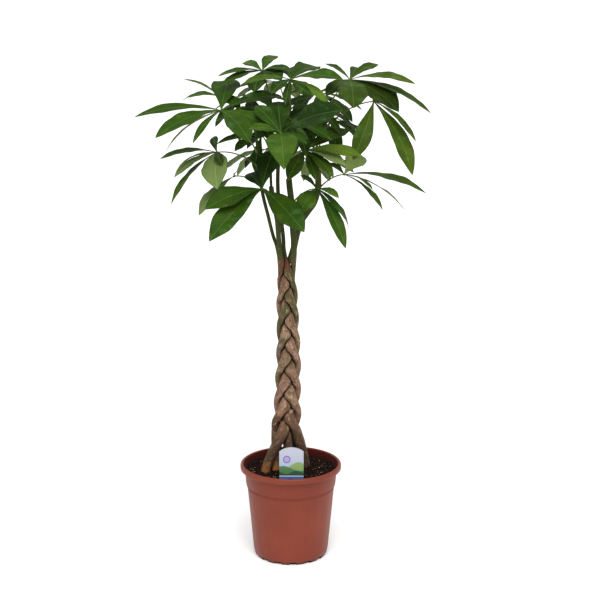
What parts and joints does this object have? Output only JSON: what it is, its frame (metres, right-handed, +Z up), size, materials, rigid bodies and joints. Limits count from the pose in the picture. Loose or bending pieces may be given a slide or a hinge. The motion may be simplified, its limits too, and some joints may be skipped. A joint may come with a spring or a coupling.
{
  "type": "potted money tree",
  "caption": "Braided-trunk house plant with palmate leaves on long stalks, standing in soil in a tapered plastic nursery pot with a plant label.",
  "frame": {"origin": "middle of the flat pad under the pot, at the level of the pot's foot ring", "axes": "+Z up along the pot's axis, -Y towards the front, where the plant label stands, +X to the right seen from the front"},
  "size_m": [0.6463, 0.5482, 1.1786],
  "materials": {
    "pot_plastic": "satin",
    "potting_soil": "matte",
    "label_card": "satin",
    "bark": "matte",
    "leaf_green": "satin"
  },
  "bodies": {
    "root": {"pot": "pot_plastic", "soil": "potting_soil", "plant_label": "label_card", "stem_1": "bark", "stem_2": "bark", "stem_3": "bark", "stem_4": "bark", "stem_5": "bark", "leaf_back_high": "leaf_green", "leaf_back_inner": "leaf_green", "leaf_back_left": "leaf_green", "leaf_back_low": "leaf_green", "leaf_back_middle": "leaf_green", "leaf_back_right": "leaf_green", "leaf_back_side": "leaf_green", "leaf_front": "leaf_green", "leaf_inner_high": "leaf_green", "leaf_inner_left": "leaf_green", "leaf_inner_middle": "leaf_green", "leaf_left_back": "leaf_green", "leaf_left_high": "leaf_green", "leaf_left_inner": "leaf_green", "leaf_left_low": "leaf_green", "leaf_left_side": "leaf_green", "leaf_left_young": "leaf_green", "leaf_middle_right": "leaf_green", "leaf_right_high": "leaf_green", "leaf_right_low": "leaf_green", "leaf_right_middle": "leaf_green", "leaf_right_side": "leaf_green", "leaf_top_left": "leaf_green", "leaf_top_middle": "leaf_green"}
  },
  "joints": []
}
